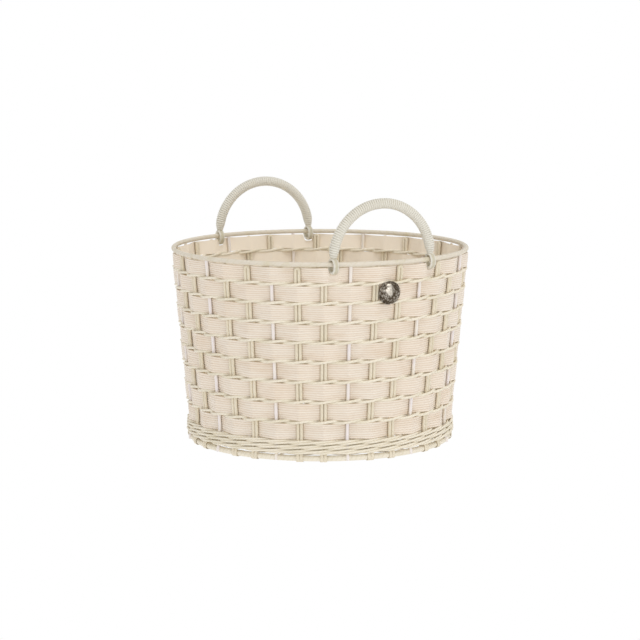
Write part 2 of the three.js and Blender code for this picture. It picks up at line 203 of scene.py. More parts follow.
class Colours(bpy.types.PropertyGroup):
    """Colours of the finishes."""

    band: colour("Band", "Ribbed paper bands", 238, 228, 214)
    # Painted light: the inner face is a lighter, warmer copy of the band colour, standing in for
    # light that doesn't reach inside the basket
    band_inner_lit: colour("Band inside", "Plain inner face of the bands", 250, 238, 220)
    # Band shade colours both the painted shade in the rib grooves and the paper's darker strands
    band_shade: colour("Band shade", "Grooves and darker strands of the bands", 212, 184, 152)
    # Painted shade: the dark colour put where a band goes in behind a stake
    seam: colour("Seam", "Seams where a band goes in behind a stake", 132, 120, 82)
    cord: colour("Cord", "Twined paper cord", 238, 229, 211)
    # Painted shade: a darker copy of the cord colour, for the depth at which the standing cords sit
    stake: colour("Standing cord", "Doubled standing cords", 231, 220, 199)
    # Also the colour of the painted shade in the cords' lay lines and in the rim's seams
    cord_shade: colour("Cord shade", "Lay lines and darker lengths of the cord", 200, 188, 146)
    winding: colour("Winding", "Cord wound on the handles", 226, 222, 211)
    # Also the colour of the painted shade in the winding's lay lines and between its turns
    winding_shade: colour("Winding shade", "Its darker lengths", 196, 188, 164)
    rim: colour("Rim", "Paper over the rim", 222, 213, 197)
    wire: colour("Wire", "Painted wire", 238, 230, 229)
    silver: colour("Silver", "High places of the medallion", 232, 224, 211)
    tarnish: colour("Tarnish", "Low places of the medallion", 84, 73, 60)
    floor: colour("Floor", "Shining floor", 255, 255, 255)


class BasketSettings(bpy.types.PropertyGroup):
    """All the settings of the basket."""

    frame: PointerProperty(type=FrameSizes)
    weft: PointerProperty(type=WeftSizes)
    handle: PointerProperty(type=HandleSizes)
    medallion: PointerProperty(type=MedallionSizes)
    colours: PointerProperty(type=Colours)


# Node trees written as expressions


class Value:
    """An output socket that can stand in an expression."""

    def __init__(self, graph, socket):
        self.graph = graph
        self.socket = socket

    def math(self, operation, *others):
        values = dict(enumerate((self, *others)))
        return self.graph.node("ShaderNodeMath", {"operation": operation}, values)

    def __add__(self, other):
        return self.math("ADD", other)

    def __sub__(self, other):
        return self.math("SUBTRACT", other)

    def __rsub__(self, other):
        return self.graph.node("ShaderNodeMath", {"operation": "SUBTRACT"}, {0: other, 1: self})

    def __mul__(self, other):
        return self.math("MULTIPLY", other)

    def __truediv__(self, other):
        return self.math("DIVIDE", other)

    def __pow__(self, other):
        return self.math("POWER", other)

    __radd__ = __add__
    __rmul__ = __mul__

    def sin(self):
        return self.math("SINE")

    def cos(self):
        return self.math("COSINE")

    def abs(self):
        return self.math("ABSOLUTE")

    def most(self, other):
        return self.math("MAXIMUM", other)

    def least(self, other):
        return self.math("MINIMUM", other)

    def above(self, other):
        return self.math("GREATER_THAN", other)

    def share(self):
        """The value held between 0 and 1."""
        return self.most(0).least(1)

    def spread(self, low, high, kind="LINEAR"):
        """How far the value is on its way from `low` to `high`, held between 0 and 1."""
        values = {"Value": self, "From Min": low, "From Max": high}
        return self.graph.node("ShaderNodeMapRange", {"interpolation_type": kind}, values)

    def other(self, name):
        """Another output of the same node."""
        return Value(self.graph, self.socket.node.outputs[name])

    def parts(self):
        """X, Y and Z of a vector."""
        split = self.graph.node("ShaderNodeSeparateXYZ", values={"Vector": self})
        return split, split.other("Y"), split.other("Z")


class Graph:
    """A node tree that is written as expressions."""

    def __init__(self, tree):
        self.tree = tree

    def node(self, kind, settings=None, values=None, output=0):
        """Adds a node, gives it its settings and then its values or links."""
        made = self.tree.nodes.new(kind)
        made.location = (180 * (len(self.tree.nodes) // 8), -160 * (len(self.tree.nodes) % 8))
        for name, setting in (settings or {}).items():
            setattr(made, name, setting)
        self.feed(made, values or {})
        return Value(self, made.outputs[output])

    def feed(self, node, values):
        """Sets or links the inputs of a node."""
        for key, value in values.items():
            if isinstance(value, Value):
                self.tree.links.new(value.socket, node.inputs[key])
            else:
                node.inputs[key].default_value = value

    def vector(self, x=0, y=0, z=0):
        return self.node("ShaderNodeCombineXYZ", values={0: x, 1: y, 2: z})


class Tree(Graph):
    """A geometry node tree with named sizes, such as "Sides" for the corners of its strands."""

    SOCKETS = {int: "NodeSocketInt", float: "NodeSocketFloat"}

    def __init__(self, name, sizes):
        super().__init__(bpy.data.node_groups.new(name, "GeometryNodeTree"))
        face = self.tree.interface
        face.new_socket("Geometry", in_out="OUTPUT", socket_type="NodeSocketGeometry")
        face.new_socket("Geometry", in_out="INPUT", socket_type="NodeSocketGeometry")
        for label, default in sizes.items():
            made = face.new_socket(label, in_out="INPUT", socket_type=self.SOCKETS[type(default)])
            made.default_value = default
        face.new_socket("Material", in_out="INPUT", socket_type="NodeSocketMaterial")
        self.source = self.tree.nodes.new("NodeGroupInput")

    def __getitem__(self, label):
        return Value(self, self.source.outputs[label])

    def store(self, geometry, name, value, kind="FLOAT"):
        """Keeps a value on each point under a name that a material reads."""
        settings = {"data_type": kind, "domain": "POINT"}
        values = {"Geometry": geometry, "Name": name, "Value": value}
        return self.node("GeometryNodeStoreNamedAttribute", settings, values)

    def place(self, geometry, position):
        values = {"Geometry": geometry, "Position": position}
        return self.node("GeometryNodeSetPosition", values=values)

    def round_place(self, radius, angle, height):
        """A place from its radius and angle about the basket's axis and its height."""
        return self.vector(radius * angle.cos(), radius * angle.sin(), height)

    def circle(self, points):
        """A closed path of points round a circle of radius 1."""
        values = {"Resolution": points, "Radius": 1.0}
        return self.node("GeometryNodeCurvePrimitiveCircle", values=values)

    def line(self, laps, steps):
        """An open path, with a number of steps to each of its laps."""
        line = self.node("GeometryNodeCurvePrimitiveLine")
        values = {"Curve": line, "Count": laps * steps + 1}
        return self.node("GeometryNodeResampleCurve", values=values)

    def copies(self, path, amount):
        """Copies of a path, and the number of each copy."""
        values = {"Geometry": path, "Amount": amount}
        made = self.node("GeometryNodeDuplicateElements", {"domain": "SPLINE"}, values)
        return made, made.other("Duplicate Index")

    def strand(self, path, thickness, width):
        """Sweeps a round or oval section along a path and keeps the place round it."""
        place = self.node("GeometryNodeInputPosition")
        ring = self.store(self.circle(self["Sides"]), "around", place, "FLOAT_VECTOR")
        x, y, _ = place.parts()
        ring = self.place(ring, self.vector(x * width / 2, y * thickness / 2))
        values = {"Curve": path, "Profile Curve": ring, "Fill Caps": True}
        return self.node("GeometryNodeCurveToMesh", values=values)

    def finish(self, geometry):
        """Closes the tree: smooth faces, the material, and instances made real."""
        smooth = self.node("GeometryNodeSetShadeSmooth", values={"Geometry": geometry})
        values = {"Geometry": smooth, "Material": self["Material"]}
        painted = self.node("GeometryNodeSetMaterial", values=values)
        real = self.node("GeometryNodeRealizeInstances", values={"Geometry": painted})
        self.feed(self.tree.nodes.new("NodeGroupOutput"), {"Geometry": real})
        return self.tree


def ribbed_band_tree():
    """Weaves one closed ribbed band in and out of the stakes, between a low and a high row."""
    tree = Tree(
        "Ribbed band",
        {
            "Stakes": STAKES,
            "Steps per Stake": 14,
            "Ribs": 7,
            "Back Steps": 5,
            "Band Number": 1.0,
            "First Stake": FIRST_STAKE,
            "Outside Parity": 0.0,
            "Foot Radius": WALL_FOOT[0],
            "Foot Height": WALL_FOOT[1],
            "Lean": LEAN,
            "Foot Lean": FOOT_LEAN,
            "Low Row": 0.0,
            "High Row": 22 * MM,
            "Low Gap at Stakes": 1.7 * MM,
            "Low Gap between Stakes": 2.4 * MM,
            "High Gap at Stakes": 1.7 * MM,
            "High Gap between Stakes": 2.4 * MM,
            "Eye Dip": 0.0,
            "Eye Place": 2.05,
            "Handle Shift": HANDLE_SHIFT,
            "Thickness": 1.4 * MM,
            "Rib Depth": 0.5 * MM,
            "Weave Depth": 3.3 * MM,
            "Crown": 0.35 * MM,
        },
    )
    rib_steps, rib_roundness = 4, 0.55
    face_steps = tree["Ribs"] * rib_steps
    steps = face_steps + tree["Back Steps"] + 2
    sizes = {
        "Size X": 1.0,
        "Size Y": 1.0,
        "Vertices X": tree["Stakes"] * tree["Steps per Stake"] + 1,
        "Vertices Y": steps + 1,
    }
    grid = tree.node("GeometryNodeMeshGrid", values=sizes)
    x, y, _ = tree.node("GeometryNodeInputPosition").parts()
    stake = (x + 0.5) * tree["Stakes"]
    step = ((y + 0.5) * steps).math("ROUND")

    # Outside at one stake, inside at the next, on a way between a straight one and a curve
    straight = 0.75
    between = (stake + tree["Outside Parity"]).math("PINGPONG", 1)
    curve = (between * math.pi).cos()
    swing = curve * (1 - straight) + (1 - between * 2) * straight

    # Up the ribbed face, across the edge, and down the plain back
    back_step = step - face_steps - 1
    back = back_step.above(-0.5) * (1 - back_step.above(tree["Back Steps"] + 0.5))
    face_share = (step / face_steps).share()
    share = face_share - (back_step / tree["Back Steps"]).share()
    rib = (share * tree["Ribs"] * math.pi).sin().abs() ** rib_roundness

    # The edges pull in between the stakes, where a twine's strands cross one above the other
    crossing = 1 - curve * curve
    low_gap = tree["Low Gap at Stakes"]
    low_gap = low_gap + (tree["Low Gap between Stakes"] - low_gap) * crossing
    high_gap = tree["High Gap at Stakes"]
    high_gap = high_gap + (tree["High Gap between Stakes"] - high_gap) * crossing

    # The top band makes way for the handles' eyes and is pressed thin beside them, within so many
    # stakes of each eye's middle
    dip_outside, dip_inside = 0.19, 0.15
    pressed_outside, pressed_inside = 0.5, 0.22
    rib_pressed, band_pressed = 0.6, 0.55
    from_middle = (stake + 0.5 - tree["Handle Shift"]).math("PINGPONG", STAKES / 4)
    off_eye = (from_middle - tree["Eye Place"]).abs()
    dip = off_eye.spread(dip_outside, dip_inside, "SMOOTHSTEP")
    pressed = off_eye.spread(pressed_outside, pressed_inside, "SMOOTHSTEP")
    pressed = pressed * tree["Eye Dip"].above(0) * (share * 3 - 1).share()

    ridge = rib * (1 - back) * tree["Rib Depth"] * (1 - pressed * rib_pressed)
    side = (0.5 - back) * tree["Thickness"] * (1 - pressed * band_pressed)
    low = tree["Low Row"] + low_gap
    high = tree["High Row"] - high_gap - dip * tree["Eye Dip"]
    height = low + (high - low) * share
    bulge = (1 - (share * 2 - 1) ** 2) * (swing * 0.5 + 0.5) * tree["Crown"]
    above = height - tree["Foot Height"]
    wall = tree["Foot Radius"] + above.most(0) * tree["Lean"]
    wall = wall + (above * -1).most(0) * tree["Foot Lean"]
    radius = wall + swing * tree["Weave Depth"] + bulge + side + ridge
    angle = tree["First Stake"] + stake * PITCH

    marked = tree.store(grid, "groove", (1 - rib) * (1 - back))
    marked = tree.store(marked, "rib", share * tree["Ribs"])
    marked = tree.store(marked, "inner", back)
    marked = tree.store(marked, "row", tree["Band Number"])
    placed = tree.place(marked, tree.round_place(radius, angle, height))
    merged = {"Geometry": placed, "Distance": 0.01 * MM}
    return tree.finish(tree.node("GeometryNodeMergeByDistance", values=merged))


def twisted_row_tree():
    """Runs strands round the basket that swing in and out of the stakes and over each other."""
    tree = Tree(
        "Twisted row",
        {
            "Stakes": STAKES,
            "Steps per Stake": 12,
            "Sides": 10,
            "Strands": 2,
            "Stakes per Wave": 2.0,
            "First Place": 0.0,
            "First Stake": FIRST_STAKE,
            "Radius": 160 * MM,
            "Height": 100 * MM,
            "Lean": LEAN,
            "Outset": 0.0,
            "Swing": 3.6 * MM,
            "Second Swing": 0.0,
            "Rise": 1.35 * MM,
            "Strand Diameter": 3.25 * MM,
        },
    )
    circle = tree.circle(tree["Stakes"] * tree["Steps per Stake"])
    strands, strand = tree.copies(circle, tree["Strands"])
    stake = tree.node("GeometryNodeSplineParameter", output="Index") / tree["Steps per Stake"]
    wave = (stake + strand + tree["First Place"]) / tree["Stakes per Wave"] * TURN
    outward = tree["Outset"] + wave.cos() * tree["Swing"] + (wave * 2).cos() * tree["Second Swing"]
    rise = wave.sin() * tree["Rise"]
    radius = tree["Radius"] + outward + rise * tree["Lean"]
    angle = tree["First Stake"] + stake * PITCH
    path = tree.place(strands, tree.round_place(radius, angle, tree["Height"] + rise))
    return tree.finish(tree.strand(path, tree["Strand Diameter"], tree["Strand Diameter"]))


def winding_tree():
    """Winds a cord round the bent rod of a handle, from eye to eye."""
    tree = Tree(
        "Handle winding",
        {
            "Turns": 74,
            "Steps per Turn": 14,
            "Sides": 8,
            "Start": 8.95 * MM,
            "Leg": 7 * MM,
            "Bend Radius": 62.09 * MM,
            "Winding Radius": 5.1 * MM,
            "Taper": 2.4 * MM,
            "Taper Length": 13 * MM,
            "Strand Thickness": 2.1 * MM,
            "Strand Width": 2.85 * MM,
            "Hinge Inset": HINGE_INSET,
            "Hinge Height": HINGE.z,
            "Angle": 0.0,
        },
    )
    line = tree.line(tree["Turns"], tree["Steps per Turn"])
    share = tree.node("GeometryNodeSplineParameter")
    bend_radius = tree["Bend Radius"]
    rod_length = tree["Leg"] * 2 + bend_radius * math.pi
    distance = tree["Start"] + share * (rod_length - tree["Start"] * 2)
    bend = ((distance - tree["Leg"]) / bend_radius).most(0).least(math.pi)
    beyond = distance - tree["Leg"] - bend * bend_radius
    turned = share * tree["Turns"] * TURN
    from_eye = distance.least(rod_length - distance) - tree["Start"]
    closer = (1 - (from_eye / tree["Taper Length"]).share()) ** 2 * tree["Taper"]
    radius = tree["Winding Radius"] - closer
    reach = bend_radius + turned.cos() * radius
    x = bend.sin() * beyond - bend.cos() * reach
    z = bend.cos() * beyond + bend.sin() * reach + tree["Leg"] + tree["Hinge Height"]
    y = turned.sin() * radius - tree["Hinge Inset"]
    wound = share * tree["Turns"] * tree["Winding Radius"] * TURN
    path = tree.store(line, "along", wound)
    path = tree.place(path, tree.vector(x, y, z))
    facing = {"Curve": path, "Normal": tree.vector(bend.sin(), 0, bend.cos())}
    path = tree.node("GeometryNodeSetCurveNormal", {"mode": "FREE"}, facing)
    cord = tree.strand(path, tree["Strand Thickness"], tree["Strand Width"])
    values = {"Geometry": cord, "Rotation": tree.vector(0, 0, tree["Angle"])}
    return tree.finish(tree.node("GeometryNodeTransform", values=values))


def woven_mat_tree():
    """Weaves two spirals of flat cord over and under the mat's radial cords."""
    tree = Tree(
        "Woven mat",
        {
            "Laps": 17,
            "Steps per Lap": 144,
            "Sides": 8,
            "Radials": STAKES,
            "First Radial": FIRST_STAKE,
            "Inner Radius": 18 * MM,
            "Lap Pitch": 7.6 * MM,
            "Swing": 0.9 * MM,
            "Height": 8.2 * MM,
            "Strand Thickness": 1.2 * MM,
            "Strand Width": 3.9 * MM,
        },
    )
    spirals, second = tree.copies(tree.line(tree["Laps"], tree["Steps per Lap"]), 2)
    lap = tree.node("GeometryNodeSplineParameter") * tree["Laps"]
    angle = lap * TURN + tree["First Radial"]
    swing = (lap * tree["Radials"] * math.pi).cos() * (1 - second * 2) * tree["Swing"]
    radius = tree["Inner Radius"] + (lap + second * 0.5) * tree["Lap Pitch"]
    path = tree.store(spirals, "along", radius * angle)
    path = tree.place(path, tree.round_place(radius, angle, tree["Height"] + swing))
    path = tree.node("GeometryNodeSetCurveNormal", {"mode": "Z_UP"}, {"Curve": path})
    return tree.finish(tree.strand(path, tree["Strand Thickness"], tree["Strand Width"]))


def repeat_round_tree():
    """Repeats the object's own mesh round the basket's axis."""
    tree = Tree("Repeat round", {"Count": 12})
    values = {"Count": tree["Count"], "Offset": (0, 0, 0)}
    points = tree.node("GeometryNodeMeshLine", {"mode": "OFFSET"}, values)
    turned = tree.node("GeometryNodeInputIndex") / tree["Count"] * TURN
    values = {"Points": points, "Instance": tree["Geometry"], "Rotation": tree.vector(0, 0, turned)}
    return tree.finish(tree.node("GeometryNodeInstanceOnPoints", values=values))


# Meshes


UP = np.array([0.0, 0.0, 1.0])
SHARP = math.radians(50)
BAND_SHARP = math.radians(65)


def new_object(name, data):
    made = bpy.data.objects.new(name, data)
    bpy.context.scene.collection.objects.link(made)
    return made


def tree_of(maker):
    """The tree that a function makes, made once."""
    tree = bpy.data.node_groups.get(maker.__name__)
    if tree is None:
        tree = maker()
        tree.name = maker.__name__
    return tree


def grow(piece, maker, sizes, material):
    """Runs a tree on an object and keeps what it makes as the object's plain mesh."""
    tree = tree_of(maker)
    modifier = piece.modifiers.new(tree.name, "NODES")
    modifier.node_group = tree
    wanted = {**sizes, "Material": material}
    for item in tree.interface.items_tree:
        if item.in_out == "INPUT" and item.name in wanted:
            modifier[item.identifier] = wanted.pop(item.name)
    if wanted:
        raise RuntimeError(f"{tree.name} has no size named {sorted(wanted)}")
    bpy.context.view_layer.update()
    evaluated = piece.evaluated_get(bpy.context.evaluated_depsgraph_get())
    mesh = bpy.data.meshes.new_from_object(evaluated)
    piece.modifiers.remove(modifier)
    piece.data = mesh
    if not mesh.polygons:
        raise RuntimeError(f"{piece.name} came out empty")
    return piece


def grown(name, maker, sizes, material):
    """A new object that a tree makes, with no mesh of its own to start from."""
    return grow(new_object(name, bpy.data.meshes.new(name)), maker, sizes, material)


def built(name, parts, material):
    """A new object of parts, each with vertices, faces, and the places round and along it."""
    faces, offset = [], 0
    for part in parts:
        faces += [[offset + corner for corner in face] for face in part["faces"]]
        offset += len(part["vertices"])
    mesh = bpy.data.meshes.new(name)
    mesh.from_pydata(np.concatenate([part["vertices"] for part in parts]).tolist(), [], faces)
    for label, kind, key in (("around", "FLOAT_VECTOR", "vector"), ("along", "FLOAT", "value")):
        values = np.concatenate([part[label] for part in parts])
        stored = mesh.attributes.new(label, kind, "POINT")
        stored.data.foreach_set(key, values.astype(np.float32).ravel())
    mesh.materials.append(material)
    mesh.shade_smooth()
    mesh.set_sharp_from_angle(angle=SHARP)
    return new_object(name, mesh)


def repeated(name, parts, count, material):
    """A new object of parts that are repeated round the basket's axis."""
    return grow(built(name, parts, material), repeat_round_tree, {"Count": count}, material)


def turn_steps(count):
    """The angles of equal steps round a turn."""
    return np.arange(count) * TURN / count


def ways_round(angles):
    """Level ways out from the basket's axis at angles about it."""
    return np.stack([np.cos(angles), np.sin(angles), 0 * angles], axis=1)


def swept(sections, closed):
    """A surface through equal rings of points; an open one gets flat ends."""
    count, sides = sections.shape[:2]
    faces = []
    for i in range(count if closed else count - 1):
        here, there = i * sides, ((i + 1) % count) * sides
        for k in range(sides):
            after = (k + 1) % sides
            faces.append([here + k, here + after, there + after, there + k])
    if not closed:
        faces.append(list(range(sides))[::-1])
        faces.append([(count - 1) * sides + k for k in range(sides)])
    steps = np.linalg.norm(np.diff(sections.mean(axis=1), axis=0), axis=1)
    return {
        "vertices": sections.reshape(-1, 3),
        "faces": faces,
        "around": np.tile(ways_round(turn_steps(sides)), (count, 1)),
        "along": np.repeat(np.concatenate([[0], np.cumsum(steps)]), sides),
    }


def bar(centres, outs, thickness, width, sides=12, closed=False):
    """A bar through centres, as thick as given along `outs`, one way or a way for each centre."""
    centres = np.asarray(centres, float)
    if closed:
        way = np.roll(centres, -1, axis=0) - np.roll(centres, 1, axis=0)
    else:
        way = np.gradient(centres, axis=0)
    way /= np.linalg.norm(way, axis=1, keepdims=True)
    side = np.cross(way, outs)
    side /= np.linalg.norm(side, axis=1, keepdims=True)
    facing = np.cross(side, way)
    turned = turn_steps(sides)
    thick = np.broadcast_to(thickness, len(centres))[:, None, None] / 2
    wide = np.broadcast_to(width, len(centres))[:, None, None] / 2
    sections = (
        centres[:, None]
        + facing[:, None] * np.cos(turned)[None, :, None] * thick
        + side[:, None] * np.sin(turned)[None, :, None] * wide
    )
    return swept(sections, closed)


def ring(radius, tube, height, sides, segments):
    """A round tube in a ring about the basket's axis."""
    outs = ways_round(turn_steps(segments))
    return bar(outs * radius + [0, 0, height], outs, 2 * tube, 2 * tube, sides, closed=True)


def lathe(outline, segments, place):
    """Turns an outline of radius and height about its own axis; `place` maps it into the frame."""
    radii, heights = np.array(outline).T
    angles = turn_steps(segments)[:, None]
    spun = [radii * np.cos(angles), radii * np.sin(angles), heights + 0 * angles]
    return swept(place(np.stack(spun, axis=2)), closed=True)


def smoothed(points, per_span):
    """Points on a smooth curve through the given ones, `per_span` to each span."""
    points = np.asarray(points, float)
    padded = np.concatenate([[2 * points[0] - points[1]], points, [2 * points[-1] - points[-2]]])
    curve = []
    for p0, p1, p2, p3 in zip(padded, padded[1:], padded[2:], padded[3:]):
        for t in np.arange(per_span) / per_span:
            bend = 2 * p0 - 5 * p1 + 4 * p2 - p3
            twist = 3 * (p1 - p2) + p3 - p0
            curve.append(p1 + ((p2 - p0) * t + bend * t**2 + twist * t**3) / 2)
    return np.array([*curve, points[-1]])


def radial_plane(angle, radii, heights, asides=0.0):
    """Points of a route that is given by radius and height at one angle, moved aside."""
    out = np.array([math.cos(angle), math.sin(angle), 0])
    aside = np.array([-math.sin(angle), math.cos(angle), 0])
    radii = np.asarray(radii, float)
    heights = np.broadcast_to(heights, radii.shape)
    asides = np.broadcast_to(asides, radii.shape)
    return radii[:, None] * out + asides[:, None] * aside + heights[:, None] * UP


# Finishes


class Finish(Graph):
    """A material whose nodes are written as expressions."""

    def __init__(self, name, same_all_over):
        self.material = bpy.data.materials.new(name)
        self.material.use_nodes = True
        super().__init__(self.material.node_tree)
        self.shader = self.tree.nodes["Principled BSDF"]
        self.feed(self.shader, same_all_over)

    def object_place(self):
        return self.node("ShaderNodeTexCoord", output="Object")

    def read(self, name, output="Fac"):
        """A value or vector that the mesh carries."""
        return self.node("ShaderNodeAttribute", {"attribute_name": name}, output=output)

    def stretched(self, place, x, y, z):
        values = {"Vector": place, "Scale": (x, y, z)}
        return self.node("ShaderNodeMapping", values=values)

    def noise(self, place, scale, detail=3.0):
        values = {"Vector": place, "Scale": scale, "Detail": detail, "Roughness": 0.55}
        return self.node("ShaderNodeTexNoise", values=values)

    def mixed(self, share, first, second):
        """A colour between two, which go into the Mix node's seventh and eighth inputs."""
        ends = {"Factor": share, 6: opaque(first), 7: opaque(second)}
        return self.node("ShaderNodeMix", {"data_type": "RGBA"}, ends, output=2)

    def painted(self, colour, roughness, height, depth, strength):
        """The material, once its shader has its colour, its roughness and a bump."""
        values = {"Height": height, "Distance": depth, "Strength": strength}
        bump = self.node("ShaderNodeBump", values=values, output="Normal")
        self.feed(self.shader, {"Base Color": colour, "Roughness": roughness, "Normal": bump})
        return self.material


def opaque(shade):
    return shade if isinstance(shade, Value) else (*shade, 1)


def angle_of(place):
    """Angle of a place about the basket's axis, or of a place on a section about its middle."""
    x, y, _ = place.parts()
    return y.math("ARCTAN2", x)


def finish_for(maker):
    """The material that a function makes, made once."""
    found = bpy.data.materials.get(maker.__name__)
    return found or maker(bpy.context.scene.basket.colours)


# The warmer tint of a band's blushed places, as shares of its red, green and blue, and a number
# above any band's ribs, so that no two bands' strands share a tone
WARM = (1.01, 0.985, 0.965)
STRANDS_APART = 17


def ribbed_paper(colours):
    """Twisted paper laid side by side in flat ribbed bands."""
    finish = Finish("ribbed_paper", {"Specular IOR Level": 0.6})
    place = finish.object_place()
    strand = finish.read("rib").math("FLOOR") + finish.read("row") * STRANDS_APART
    own = finish.node("ShaderNodeTexWhiteNoise", {"noise_dimensions": "1D"}, {"W": strand})
    fibre = finish.noise(finish.stretched(place, 1, 1, 9), 260.0, 4.0)
    length_tone = finish.noise(finish.stretched(place, 1, 1, 3), 22.0, 2.0)
    blush = finish.noise(place, 9.0, 1.0).spread(0.42, 0.62)
    warm = [part * tint for part, tint in zip(colours.band, WARM)]
    # The grooves between the ribs are darkened as painted shade; the fibre, the lengths and each
    # strand's own tone are the paper's own colour
    depth = (
        finish.read("groove") ** 1.5 * 0.55
        + fibre.spread(0.45, 0.8) * 0.2
        + length_tone.spread(0.5, 0.75) * 0.25
        + own * 0.14
    )
    base = finish.mixed(blush, colours.band, warm)
    base = finish.mixed(depth.share(), base, colours.band_shade)
    # Painted shade darkens the band where it goes in behind a stake
    base = finish.mixed(painted_shade_beside_stakes(finish, place) * 0.3, base, colours.seam)
    # Painted light: the plain inner face takes that lighter copy of the band colour
    base = finish.mixed(finish.read("inner"), base, colours.band_inner_lit)
    fine = finish.noise(finish.stretched(place, 1, 1, 5), 900.0, 2.0)
    return finish.painted(base, fibre * 0.16 + 0.3, fibre * 0.7 + fine * 0.3, 0.2 * MM, 0.5)


def painted_shade_beside_stakes(finish, place):
    """1 in the painted shade where a band goes in behind a wire or a doubled cord, 0 elsewhere."""
    sizes = bpy.context.scene.basket.frame
    # How far off a stake's edge the painted shade is full, and where it ends
    shade_inside, shade_outside = 0.4 * MM, 0.9 * MM
    x, y, _ = place.parts()
    radius = (x * x + y * y) ** 0.5
    stake = (angle_of(place) - FIRST_STAKE) / PITCH
    nearest = stake.math("ROUND")
    inside = (nearest + finish.read("row")).math("ROUND").math("FLOORED_MODULO", 2)
    cord = (nearest - 1).math("FLOORED_MODULO", 3).least(1)
    off_middle = (stake - nearest).abs() * radius * PITCH
    off_edge = off_middle - sizes.cord_diameter / 2 - cord * sizes.cord_spread
    return off_edge.spread(shade_outside, shade_inside) * inside


# The length in which a cord's strands turn once, turns of a weft cord's strands in a lap, and
# turns of the paper round the rim in a lap
LAY_LENGTH = 11 * MM
WEFT_TWISTS = 90
RIM_TURNS = 110


def cord_finish(name, phase_of, light, dark, gap_shade_share=0.0):
    """Twisted paper cord, whose lay lines run round it at a phase along its length.

    The share given last darkens its sides with painted shade, where it lies against the next turn
    of a winding.
    """
    shade_share = 0.6
    finish = Finish(name, {"Specular IOR Level": 0.3})
    place = finish.object_place()
    around = finish.read("around", "Vector")
    lay = ((angle_of(around) + phase_of(finish, place)) * 2).sin() * 0.5 + 0.5
    fibre = finish.noise(place, 420.0)
    length_tone = finish.noise(place, 28.0, 2.0)
    # The lay lines between the strands are darkened as painted shade; the fibre and the lengths are
    # the cord's own tone
    depth = (
        lay**6 * 0.3
        + fibre.spread(0.5, 0.8) * 0.22
        + length_tone.spread(0.45, 0.75) * 0.4
    )
    # Painted shade on the sides, where a turn lies against the next
    gap_shade = around.parts()[0].abs().spread(0.72, 0.98) * gap_shade_share
    base = finish.mixed((depth * shade_share + gap_shade).share(), light, dark)
    height = fibre * 0.4 - lay**4 * shade_share
    return finish.painted(base, fibre * 0.2 + 0.42, height, 0.25 * MM, 0.6)


def about_axis(finish, place):
    """Phase of the lay by the angle about the basket's axis."""
    return angle_of(place) * WEFT_TWISTS


def along_cord(finish, place):
    """Phase of the lay by the length along a cord."""
    return finish.read("along") * (TURN / LAY_LENGTH)


def weft_cord(colours):
    """Cord that runs round the basket."""
    return cord_finish("weft_cord", about_axis, colours.cord, colours.cord_shade)


def standing_cord(colours):
    """Cord of the standing strands and of the mat."""
    # Painted shade: the standing cords and the mat take the darker copy of the cord colour
    return cord_finish("standing_cord", along_cord, colours.stake, colours.cord_shade)


def wound_cord(colours):
    """The paler cord that is wound on the handles."""
    # 0.8 of painted shade between the winding's turns
    return cord_finish("wound_cord", along_cord, colours.winding, colours.winding_shade, 0.8)


def rim_skin(colours):
    """Paper drawn smoothly over the rim."""
    finish = Finish("rim_skin", {"Specular IOR Level": 0.35})
    place = finish.object_place()
    upward = finish.read("around", "Vector").parts()[1]
    seam = (angle_of(place) * RIM_TURNS + upward * 2).sin() * 0.5 + 0.5
    stains = finish.noise(place, 60.0)
    fibre = finish.noise(place, 500.0)
    # The seams sink in the bump and are darkened as painted shade; the stains and fibre are the
    # paper's own tone
    depth = seam**16 * 0.2 + stains.spread(0.5, 0.75) * 0.45 + fibre.spread(0.55, 0.8) * 0.25
    base = finish.mixed(depth.share(), colours.rim, colours.cord_shade)
    height = fibre * 0.4 - seam**16 * 0.3
    return finish.painted(base, fibre * 0.2 + 0.45, height, 0.2 * MM, 0.4)


def wire_paint(colours):
    """Wire with a thick soft-white paint."""
    finish = Finish("wire_paint", {"Coat Roughness": 0.25, "Coat Weight": 0.25})
    place = finish.object_place()
    runs = finish.noise(finish.stretched(place, 1, 1, 0.3), 120.0, 2.0)
    chips = finish.noise(place, 260.0, 4.0).spread(0.66, 0.72)
    base = finish.mixed(runs.spread(0.4, 0.75), colours.wire, colours.cord)
    base = finish.mixed(chips * 0.35, base, colours.cord_shade)
    return finish.painted(base, runs * 0.25 + 0.3, runs - chips * 0.5, 0.2 * MM, 0.4)


# Middle of the painted highlight, where the medallion's colour is made bright and untarnished, X
# and height, and its outer and inner reach
PAINTED_HIGHLIGHT = (-3.2 * MM, 203 * MM)
PAINTED_HIGHLIGHT_REACH = (8 * MM, 2 * MM)


def hammered_silver(colours):
    """Hammered silver with dark tarnish in its low places."""
    finish = Finish("hammered_silver", {"Metallic": 1.0, "Specular IOR Level": 0.5})
    place = finish.object_place()
    values = {"Vector": place, "Scale": 420.0}
    dents = finish.node("ShaderNodeTexVoronoi", {"feature": "SMOOTH_F1"}, values)
    grain = finish.noise(place, 900.0, 4.0)
    patches = finish.noise(place, 140.0)
    across, _, height = place.parts()
    off_painted_highlight = ((across - PAINTED_HIGHLIGHT[0]) ** 2 + (height - PAINTED_HIGHLIGHT[1]) ** 2) ** 0.5
    painted_highlight = off_painted_highlight.spread(*PAINTED_HIGHLIGHT_REACH)
    # Painted highlight: the tarnish is taken away round the key light's reflection
    low = (dents * 0.5 + grain * 0.6 + patches * 0.6 - painted_highlight * 0.34).spread(0.42, 0.85)
    base = finish.mixed(low, colours.silver, colours.tarnish)
    return finish.painted(base, low * 0.25 + 0.28, 1 - dents, 0.3 * MM, 0.3)


